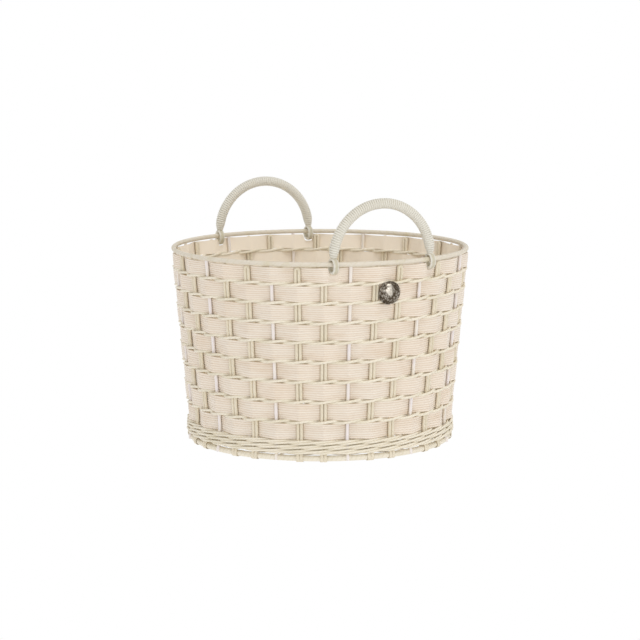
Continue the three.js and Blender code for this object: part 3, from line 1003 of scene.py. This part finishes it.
def studio_white(colours):
    """A floor that shines as evenly white as a light table."""
    values = {"Base Color": (0, 0, 0, 1), "Emission Color": (*colours.floor, 1)}
    dull = {"Emission Strength": 1.0, "Specular IOR Level": 0.0, "Roughness": 0.9}
    return Finish("studio_white", {**values, **dull}).material


# Operators


class BasketOperator:
    """What the basket's operators share."""

    bl_options = {"REGISTER", "UNDO"}

    def keep(self, piece, nodes, slot, body="basket"):
        """A finished piece rides on its body and hides the solids that it stands for; `slot`, the
        name of its finish, is not used.
        """
        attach(piece, body)
        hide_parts(*nodes)


class BASKET_OT_rings(BasketOperator, bpy.types.Operator):
    """Make the rim and the ring that the basket stands on"""

    bl_idname = "basket.rings"
    bl_label = "Rings"

    def execute(self, context):
        sizes = context.scene.basket.frame
        rim = ring(sizes.rim_radius, RIM_TUBE, RIM_HEIGHT, sides=20, segments=8 * STAKES)
        self.keep(built("rim", [rim], finish_for(rim_skin)), ["rim_ring"], "cord_paper")
        tube = sizes.base_thickness / 2
        foot = ring(sizes.base_radius, tube, BASE_HEIGHT, sides=16, segments=6 * STAKES)
        foot_ring = built("foot_ring", [foot], finish_for(weft_cord))
        self.keep(foot_ring, ["base_ring"], "cord_paper")
        return {"FINISHED"}


# A standing wire's route up beside the foot ring, in millimetres: distance out from the middle of
# the ring's tube, and height; then its heights at the wall's foot, where its straight part starts,
# and how far it goes into the rim
WIRE_FOOT = ((3.1, 2.2), (3.1, 4.0), (3.1, 5.8), (2.4, 8.3))
WIRE_BEND = (11 * MM, 22 * MM, 34 * MM)
WIRE_START, WIRE_END = 60 * MM, 0.35 * MM


class BASKET_OT_wires(BasketOperator, bpy.types.Operator):
    """Make the standing wires, and the hub and spokes under the mat"""

    bl_idname = "basket.wires"
    bl_label = "Wires"

    def execute(self, context):
        sizes = context.scene.basket.frame
        paint = finish_for(wire_paint)
        angle = stake_angle(1)
        straight = np.linspace(WIRE_START, RIM_HEIGHT - RIM_TUBE + WIRE_END, num=8)
        route = [(sizes.base_radius + out * MM, height * MM) for out, height in WIRE_FOOT]
        for height in (*WIRE_BEND, *straight):
            route.append((wall_radius(height), height))
        radii, heights = smoothed(route, per_span=3).T
        out = [math.cos(angle), math.sin(angle), 0]
        thickness = sizes.wire_diameter
        wire = bar(radial_plane(angle, radii, heights), out, thickness, thickness, sides=14)
        wires = repeated("standing_wires", [wire], BAYS, paint)
        self.keep(wires, WIRES, "painted_wire")

        hub_low, hub_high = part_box("hub_ring")
        tube = (hub_high.z - hub_low.z) / 2
        hub = ring(hub_high.x - tube, tube, BASE_HEIGHT, sides=12, segments=48)
        self.keep(built("hub", [hub], paint), ["hub_ring"], "painted_wire")
        reach = np.linspace(hub_high.x, sizes.base_radius - sizes.base_thickness / 2, num=6)
        spoke = bar(radial_plane(angle, reach, BASE_HEIGHT), UP, 2 * tube, 2 * tube)
        self.keep(repeated("spokes", [spoke], len(SPOKES), paint), SPOKES, "painted_wire")
        return {"FINISHED"}


# A standing cord's route from its tuck under the mat, round the foot ring and up to the wall:
# radius, height, thickness and width in millimetres
TUCK_ROUTE = [
    (150.3, 5.0, 2.4, 3.8),
    (152.0, 2.7, 1.6, 3.9),
    (154.2, 0.98, 0.8, 4.0),
    (157.6, 0.62, 0.6, 4.0),
    (160.0, 1.05, 0.7, 4.0),
    (161.5, 2.6, 0.9, 4.0),
    (161.8, 4.7, 1.0, 4.0),
    (161.5, 6.9, 1.4, 3.9),
    (160.2, 8.9, 2.6, 3.8),
    (158.8, 11.5, 3.8, 3.8),
]
# Height at which a cord follows the wall, how far below the rim it turns, and how far from a
# band's middle the band still pushes it
CORD_START = 16 * MM
RIM_GAP = 0.3 * MM
GIVE_REACH = 11 * MM


class BASKET_OT_cords(BasketOperator, bpy.types.Operator):
    """Make the doubled standing cords"""

    bl_idname = "basket.cords"
    bl_label = "Standing cords"

    def execute(self, context):
        sizes = context.scene.basket.frame
        parts = []
        # The bands push the cords of neighbouring bays to opposite sides, so two are repeated
        for first in (2, 5):
            stations = [
                *self.doubled(first, sizes),
                self.link(first, sizes),
                *self.doubled(first + 1, sizes),
            ]
            parts.append(bar(*(np.concatenate(column) for column in zip(*stations))))
        piece = repeated("standing_cords", parts, BAYS // 2, finish_for(standing_cord))
        self.keep(piece, CORDS, "cord_paper")
        return {"FINISHED"}

    def doubled(self, stake, sizes):
        """A doubled stake: centres, outward ways, thickness and width, up, over and down."""
        top = RIM_HEIGHT - RIM_TUBE - RIM_GAP - sizes.cord_diameter / 2
        spread = sizes.cord_spread
        up = self.strand(stake, -spread, top - spread, sizes)
        down = self.strand(stake, spread, top - spread, sizes)
        swings = np.linspace(0, math.pi, num=7)[1:-1]
        heights = top - spread * (1 - np.sin(swings))
        angle = stake_angle(stake)
        turn = radial_plane(angle, wall_radius(heights), heights, -spread * np.cos(swings))
        outs = np.tile([math.cos(angle), math.sin(angle), 0], (len(turn), 1))
        full = np.full(len(turn), sizes.cord_diameter)
        return up, (turn, outs, full, full), tuple(column[::-1] for column in down)

    def strand(self, stake, aside, top, sizes):
        """The same of one strand, from its tuck up to a height."""
        rising = np.linspace(CORD_START, top, num=42)
        gives = np.zeros_like(rising)
        for row, band_middle in enumerate(BAND_MIDDLES):
            outside = (stake + row + 1) % 2 == 0
            near = np.clip(1 - np.abs(rising - band_middle) / GIVE_REACH, 0, 1)
            gives += (-1 if outside else 1) * sizes.cord_give * near * near * (3 - 2 * near)
        full = np.full_like(rising, sizes.cord_diameter)
        wall = np.stack([wall_radius(rising) + gives, rising, full, full], axis=1)
        tuck = smoothed(np.array(TUCK_ROUTE) * MM, per_span=2)
        radii, heights, thickness, width = np.concatenate([tuck, wall]).T
        way = np.gradient(np.stack([radii, heights], axis=1), axis=0)
        way /= np.linalg.norm(way, axis=1, keepdims=True)
        angle = stake_angle(stake)
        outs = radial_plane(angle, way[:, 1], -way[:, 0])
        return radial_plane(angle, radii, heights, aside), outs, thickness, width

    def link(self, stake, sizes):
        """The same of the length under the mat, from one doubled stake of a cord to its next."""
        radius, height, thickness, width = np.array(TUCK_ROUTE[0]) * MM
        reach = sizes.cord_spread / radius
        start, end = stake_angle(stake) + reach, stake_angle(stake + 1) - reach
        angles = np.linspace(start, end, num=9)[1:-1]
        even = np.ones(len(angles))
        centres = ways_round(angles) * radius + UP * height
        return centres, np.tile(-UP, (len(angles), 1)), even * thickness, even * width


def row_heights():
    """Heights of the rows that part the bands, from the rim down to the top of the waling."""
    inner = [(above + below) / 2 for above, below in zip(BAND_MIDDLES, BAND_MIDDLES[1:])]
    return [RIM_HEIGHT - RIM_TUBE, *inner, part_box("waling")[1].z]


# Gaps over the top band and under the bottom one, at the stakes and between them
GAPS_AT_RIM = (1.0 * MM, 1.4 * MM)
GAPS_AT_WALING = (0.2 * MM, 0.5 * MM)
# A band's play beside a twine at a stake, the share of the twine's rise that it clears between the
# stakes, and how deep the top band dips under an eye
TWINE_PLAY = 0.1 * MM
RISE_SHARE = 0.6
EYE_DIP = 8.2 * MM


class BASKET_OT_bands(BasketOperator, bpy.types.Operator):
    """Weave the ribbed bands"""

    bl_idname = "basket.bands"
    bl_label = "Bands"

    def execute(self, context):
        sizes = context.scene.basket.weft
        rows = row_heights()
        strand = sizes.twine_diameter / 2
        at_twine = (strand + TWINE_PLAY, strand + RISE_SHARE * sizes.twine_rise)
        for number, name in enumerate(BANDS, start=1):
            low_gaps = GAPS_AT_WALING if number == len(BANDS) else at_twine
            high_gaps = GAPS_AT_RIM if number == 1 else at_twine
            own = {
                "Ribs": sizes.ribs,
                "Band Number": float(number),
                "Outside Parity": float(number % 2),
                "Low Row": rows[number],
                "High Row": rows[number - 1],
                "Low Gap at Stakes": low_gaps[0],
                "Low Gap between Stakes": low_gaps[1],
                "High Gap at Stakes": high_gaps[0],
                "High Gap between Stakes": high_gaps[1],
                "Eye Dip": EYE_DIP if number == 1 else 0.0,
                "Thickness": sizes.band_thickness,
                "Rib Depth": sizes.rib_depth,
                "Weave Depth": sizes.weave_depth,
                "Crown": sizes.band_crown,
            }
            piece = grown(f"ribbed_{name}", ribbed_band_tree, own, finish_for(ribbed_paper))
            piece.data.set_sharp_from_angle(angle=BAND_SHARP)
            self.keep(piece, [name], "band_paper")
        return {"FINISHED"}


class BASKET_OT_twines(BasketOperator, bpy.types.Operator):
    """Twine the rows between the bands"""

    bl_idname = "basket.twines"
    bl_label = "Twines"

    def execute(self, context):
        sizes = context.scene.basket.weft
        for name, height in zip(TWINES, row_heights()[1:-1]):
            own = {
                "Radius": float(wall_radius(height)),
                "Height": height,
                "Swing": sizes.twine_swing,
                "Rise": sizes.twine_rise,
                "Strand Diameter": sizes.twine_diameter,
            }
            piece = grown(f"twisted_{name}", twisted_row_tree, own, finish_for(weft_cord))
            self.keep(piece, [name], "cord_paper")
        return {"FINISHED"}


class BASKET_OT_waling(BasketOperator, bpy.types.Operator):
    """Make the three rows of waling at the foot"""

    bl_idname = "basket.waling"
    bl_label = "Waling"

    def execute(self, context):
        sizes = context.scene.basket.weft
        low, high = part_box("waling")
        rows = 3
        for row in range(rows):
            height = low.z + (row + 0.5) * ((high.z - low.z) / rows)
            own = {
                "Strands": 3,
                "Stakes per Wave": 3.0,
                "First Place": row * 0.5,
                "Radius": float(wall_radius(height)),
                "Height": height,
                "Lean": 0.0,
                "Outset": 1.1 * MM,
                "Swing": -3.5 * MM,
                "Second Swing": -1.05 * MM,
                "Rise": -1.5 * MM,
                "Strand Diameter": sizes.waling_diameter,
            }
            name = f"waling_row_{row + 1}"
            piece = grown(name, twisted_row_tree, own, finish_for(weft_cord))
            self.keep(piece, ["waling"], "cord_paper")
        return {"FINISHED"}


# The mat's radial cords: where they start and end, thickness and width
RADIAL_REACH = (3 * MM, 153.5 * MM)
RADIAL_SECTION = (0.9 * MM, 1.6 * MM)
# The coil in the mat's middle: turns, points, first radius, radius won by a turn, how far it lies
# above the mat's middle, thickness and width
COIL_TURNS, COIL_POINTS = 7, 390
COIL_START, COIL_PITCH = 0.9 * MM, 3.4 * MM
COIL_LIFT = 0.85 * MM
COIL_SECTION = (1.2 * MM, 3.3 * MM)
# Half the outline of the knot in the coil's middle: radius and height in millimetres
KNOT = ((0.01, -1.4), (2.4, -1.4), (3.0, -0.6), (2.6, 0.3), (1.2, 0.55), (0.01, 0.6))


class BASKET_OT_mat(BasketOperator, bpy.types.Operator):
    """Weave the round mat inside"""

    bl_idname = "basket.mat"
    bl_label = "Mat"

    def execute(self, context):
        cord = finish_for(standing_cord)
        height = middle("base_mat")
        woven = grown("mat_weave", woven_mat_tree, {"Height": height}, cord)
        self.keep(woven, ["base_mat"], "band_paper")
        centres = radial_plane(stake_angle(0), np.linspace(*RADIAL_REACH, num=12), height)
        radial = bar(centres, UP, *RADIAL_SECTION, sides=8)
        radials = repeated("mat_radials", [radial], STAKES, cord)
        self.keep(radials, ["base_mat"], "band_paper")

        turns = np.linspace(0, COIL_TURNS, COIL_POINTS)
        radii = (COIL_START + turns * COIL_PITCH)[:, None]
        lift = UP * (height + COIL_LIFT)
        coil = bar(ways_round(turns * TURN) * radii + lift, UP, *COIL_SECTION, sides=10)
        knot = lathe(np.array(KNOT) * MM, 24, place=lambda points: points + lift)
        self.keep(built("mat_middle", [coil, knot], cord), ["base_mat"], "band_paper")
        return {"FINISHED"}


# An eye's points along its loop and round its section, how square the section is (1 is round),
# the fine ridges across it with their height, and how much they leave of its width
EYE_POINTS, EYE_CORNERS = 96, 24
EYE_SQUARE = 0.85
EYE_RIDGES, RIDGE_HEIGHT = 16, 0.02
EYE_SLIM = 0.965
# How far inside an eye's reach the winding starts
WINDING_LAP = 0.4 * MM


class BASKET_OT_handles(BasketOperator, bpy.types.Operator):
    """Make the two wound handles with their eyes round the rim"""

    bl_idname = "basket.handles"
    bl_label = "Handles"

    def rod(self, sizes):
        """The rod, in the handle's own frame."""
        start = (sizes.eye_inner + sizes.eye_outer) / 2
        first_bend = max(0, (start - sizes.leg) / sizes.bend_radius)
        bends = np.linspace(first_bend, math.pi / 2, num=40)[:, None]
        outs = np.concatenate([-np.cos(bends), 0 * bends, np.sin(bends)], axis=1)
        centres = outs * sizes.bend_radius + UP * sizes.leg
        if start < sizes.leg:
            outs = np.concatenate([outs[:1], outs])
            centres = np.concatenate([[[-sizes.bend_radius, 0, start]], centres])
        mirror = np.array([-1, 1, 1])
        centres = np.concatenate([centres, centres[-2::-1] * mirror])
        outs = np.concatenate([outs, outs[-2::-1] * mirror])
        return bar(centres, outs, sizes.rod_diameter, sizes.rod_diameter, sides=16)

    def eye(self, sizes, side):
        """An eye round the rim: a smooth loop of oval section with faint lines across it."""
        turned = turn_steps(EYE_POINTS)[:, None]
        round_x, round_y, _ = ways_round(turn_steps(EYE_CORNERS)).T
        thick, wide = (sizes.eye_outer - sizes.eye_inner) / 2, sizes.eye_width / 2
        ridge = 1 + RIDGE_HEIGHT * np.abs(np.sin(turned * EYE_RIDGES))
        out = np.sign(round_x) * np.abs(round_x) ** EYE_SQUARE
        across = np.sign(round_y) * np.abs(round_y) ** EYE_SQUARE
        radius = (sizes.eye_inner + thick) + thick * out * ridge
        x = side * sizes.bend_radius + wide * across * (EYE_SLIM * ridge)
        loop = [x, -radius * np.sin(turned), radius * np.cos(turned)]
        return swept(np.stack(loop, axis=2), closed=True)

    def execute(self, context):
        sizes = context.scene.basket.handle
        cord = finish_for(wound_cord)
        for half_turns, body in enumerate(HANDLES):
            angle = HANDLE_ANGLE + half_turns * TURN / 2
            turned = np.array(Matrix.Rotation(angle, 3, "Z")).T
            parts = [self.rod(sizes), self.eye(sizes, -1), self.eye(sizes, 1)]
            for part in parts:
                part["vertices"] = (part["vertices"] + [0, -HINGE_INSET, HINGE.z]) @ turned
            rod = built(f"{body}_eyes", parts, cord)
            self.keep(rod, [f"{body}_rod"], "cord_paper", body)
            own = {
                "Turns": sizes.turns,
                "Start": sizes.eye_outer - WINDING_LAP,
                "Leg": sizes.leg,
                "Bend Radius": sizes.bend_radius,
                "Winding Radius": sizes.winding_radius,
                "Taper": sizes.winding_taper,
                "Strand Thickness": sizes.strand_thickness,
                "Strand Width": sizes.strand_width,
                "Hinge Inset": HINGE_INSET,
                "Hinge Height": HINGE.z,
                "Angle": angle,
            }
            wound = grown(f"{body}_wound_cord", winding_tree, own, cord)
            self.keep(wound, [f"{body}_winding"], "cord_paper", body)
        return {"FINISHED"}


# Turned outlines in millimetres. The button's lower corner: in from its radius, and up from its
# seat; then its upper corner and groove: in from its radius, and up from the end of its edge
BUTTON_CORNER = ((0.4, 0.0), (0.0, 0.4))
BUTTON_GROOVE = ((0.0, -0.5), (0.35, 0.0), (0.9, 0.15), (1.3, -0.05))
# The dome: how far in and up it starts and after what share of its quarter turn, and the width
# that its top keeps
DOME_INSET, DOME_LIFT, DOME_START = 1.45 * MM, 0.1 * MM, 0.12
DOME_TOP = 0.02 * MM
# The cap: how far its seat lies inside its solid's outermost corner, its play round the post, and
# its rounded edges
CAP_SHIFT, CAP_PLAY, CAP_EASE = 0.55 * MM, 0.3 * MM, 0.3 * MM
# The width that the closed inner end of the post keeps
HAIR = 0.01 * MM


class BASKET_OT_medallion(BasketOperator, bpy.types.Operator):
    """Make the domed button on the front and the cap that holds it"""

    bl_idname = "basket.medallion"
    bl_label = "Medallion"

    def execute(self, context):
        sizes = context.scene.basket.medallion
        silver = finish_for(hammered_silver)
        height = BAND_MIDDLES[1]
        lean = math.atan(LEAN)
        out = np.array([0, -math.cos(lean), -math.sin(lean)])
        across = np.array([1.0, 0, 0])
        up = np.cross(out, across)
        foot = np.array([0, -float(wall_radius(height)), height])

        def place(points):
            return foot + points[..., :1] * across + points[..., 1:2] * up + points[..., 2:] * out

        cap_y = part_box("medallion_cap")[0].y
        cap_seat = -(cap_y + wall_radius(height)) / math.cos(lean) - CAP_SHIFT
        cap_end = cap_seat - sizes.cap_thickness
        radius, post = sizes.diameter / 2, sizes.post_diameter / 2
        edge = sizes.seat + sizes.edge
        rise = sizes.depth - sizes.edge - DOME_LIFT
        outline = [(HAIR, cap_end), (post, cap_end), (post, sizes.seat)]
        outline += [(radius - inset * MM, sizes.seat + lift * MM) for inset, lift in BUTTON_CORNER]
        outline += [(radius - inset * MM, edge + lift * MM) for inset, lift in BUTTON_GROOVE]
        for swing in np.linspace(DOME_START, 1, num=16) * math.pi / 2:
            reach = (radius - DOME_INSET) * math.cos(swing) + DOME_TOP
            outline.append((reach, edge + DOME_LIFT + rise * math.sin(swing)))
        button = built("medallion_button", [lathe(outline, 72, place)], silver)
        self.keep(button, ["medallion"], "old_silver")

        bore, brim = post + CAP_PLAY, sizes.cap_diameter / 2
        rounded = brim - CAP_EASE
        outline = [(bore, cap_end), (rounded, cap_end), (brim, cap_end + CAP_EASE)]
        outline += [(brim, cap_seat - CAP_EASE), (rounded, cap_seat), (bore, cap_seat)]
        cap = built("medallion_back", [lathe(outline, 48, place)], silver)
        self.keep(cap, ["medallion_cap"], "old_silver")
        return {"FINISHED"}


# The camera as it stood for the photograph: its lens and sensor in millimetres, the point that it
# looks at, the way back to it from there and how far, and how far it sees, in metres
LENS, SENSOR = 119.1, 36
TARGET = Vector((0, 0, 0.1429))
CAMERA_WAY = Vector((-0.44119, -0.88490, 0.14933)).normalized()
CAMERA_DISTANCE = 2.5842
CLIP_END = 1000
# Radius and height of the floor's edge and of the top of the low bank round it, in metres
FLOOR_OUTLINE = ((20, 0), (26, 6))
FLOOR_CORNERS = 32
# Light from all around, and each lamp's name, place, size and power
SKY = 0.72
LAMPS = (
    ("key_light", (-0.6, -4.4, 1.4), 1.25, 22),
    ("top_light", (0.2, -1.0, 2.6), 1.2, 15),
)


class BASKET_OT_stage(BasketOperator, bpy.types.Operator):
    """Make the camera, the floor and the studio light"""

    bl_idname = "basket.stage"
    bl_label = "Stage"

    def execute(self, context):
        scene = context.scene
        lens = bpy.data.cameras.new("camera")
        lens.sensor_width = SENSOR
        lens.lens = LENS
        lens.clip_end = CLIP_END
        camera = new_object("camera", lens)
        camera.location = TARGET + CAMERA_WAY * CAMERA_DISTANCE
        camera.rotation_euler = CAMERA_WAY.to_track_quat("Z", "Y").to_euler()
        scene.camera = camera

        # A wide flat floor whose edge turns up, so that no dark sky shows above it
        around = ways_round(turn_steps(FLOOR_CORNERS))
        rows = [around * reach + UP * height for reach, height in FLOOR_OUTLINE]
        faces = [list(range(FLOOR_CORNERS))]
        for k in range(FLOOR_CORNERS):
            after = (k + 1) % FLOOR_CORNERS
            faces.append([k, FLOOR_CORNERS + k, FLOOR_CORNERS + after, after])
        floor = bpy.data.meshes.new("floor")
        floor.from_pydata(np.concatenate(rows).tolist(), [], faces)
        floor.materials.append(finish_for(studio_white))
        new_object("floor", floor)

        scene.world = bpy.data.worlds.new("studio")
        scene.world.use_nodes = True
        sky = scene.world.node_tree.nodes["Background"].inputs
        sky["Color"].default_value = (1, 1, 1, 1)
        sky["Strength"].default_value = SKY
        for name, place, size, power in LAMPS:
            area = bpy.data.lights.new(name, "AREA")
            area.size = size
            area.energy = power
            lamp = new_object(name, area)
            lamp.location = place
            lamp.rotation_euler = (Vector(place) - TARGET).to_track_quat("Z", "Y").to_euler()
        scene.view_settings.view_transform = "Standard"
        return {"FINISHED"}


OPERATORS = (
    BASKET_OT_stage,
    BASKET_OT_rings,
    BASKET_OT_wires,
    BASKET_OT_cords,
    BASKET_OT_bands,
    BASKET_OT_twines,
    BASKET_OT_waling,
    BASKET_OT_mat,
    BASKET_OT_handles,
    BASKET_OT_medallion,
)


class VIEW3D_PT_basket(bpy.types.Panel):
    """The basket's operators and settings"""

    bl_label = "Basket"
    bl_space_type = "VIEW_3D"
    bl_region_type = "UI"
    bl_category = "Basket"

    def draw(self, context):
        for operator in OPERATORS:
            self.layout.operator(operator.bl_idname)
        settings = context.scene.basket
        for group in BasketSettings.__annotations__:
            box = self.layout.box()
            sizes = getattr(settings, group)
            for name in type(sizes).__annotations__:
                box.prop(sizes, name)


CLASSES = (
    FrameSizes,
    WeftSizes,
    HandleSizes,
    MedallionSizes,
    Colours,
    BasketSettings,
    *OPERATORS,
    VIEW3D_PT_basket,
)


def register():
    for kind in CLASSES:
        bpy.utils.register_class(kind)
    bpy.types.Scene.basket = PointerProperty(type=BasketSettings)


def unregister():
    del bpy.types.Scene.basket
    for kind in reversed(CLASSES):
        bpy.utils.unregister_class(kind)


def main():
    register()
    for operator in OPERATORS:
        group, name = operator.bl_idname.split(".")
        getattr(getattr(bpy.ops, group), name)()


if __name__ == "__main__":
    main()
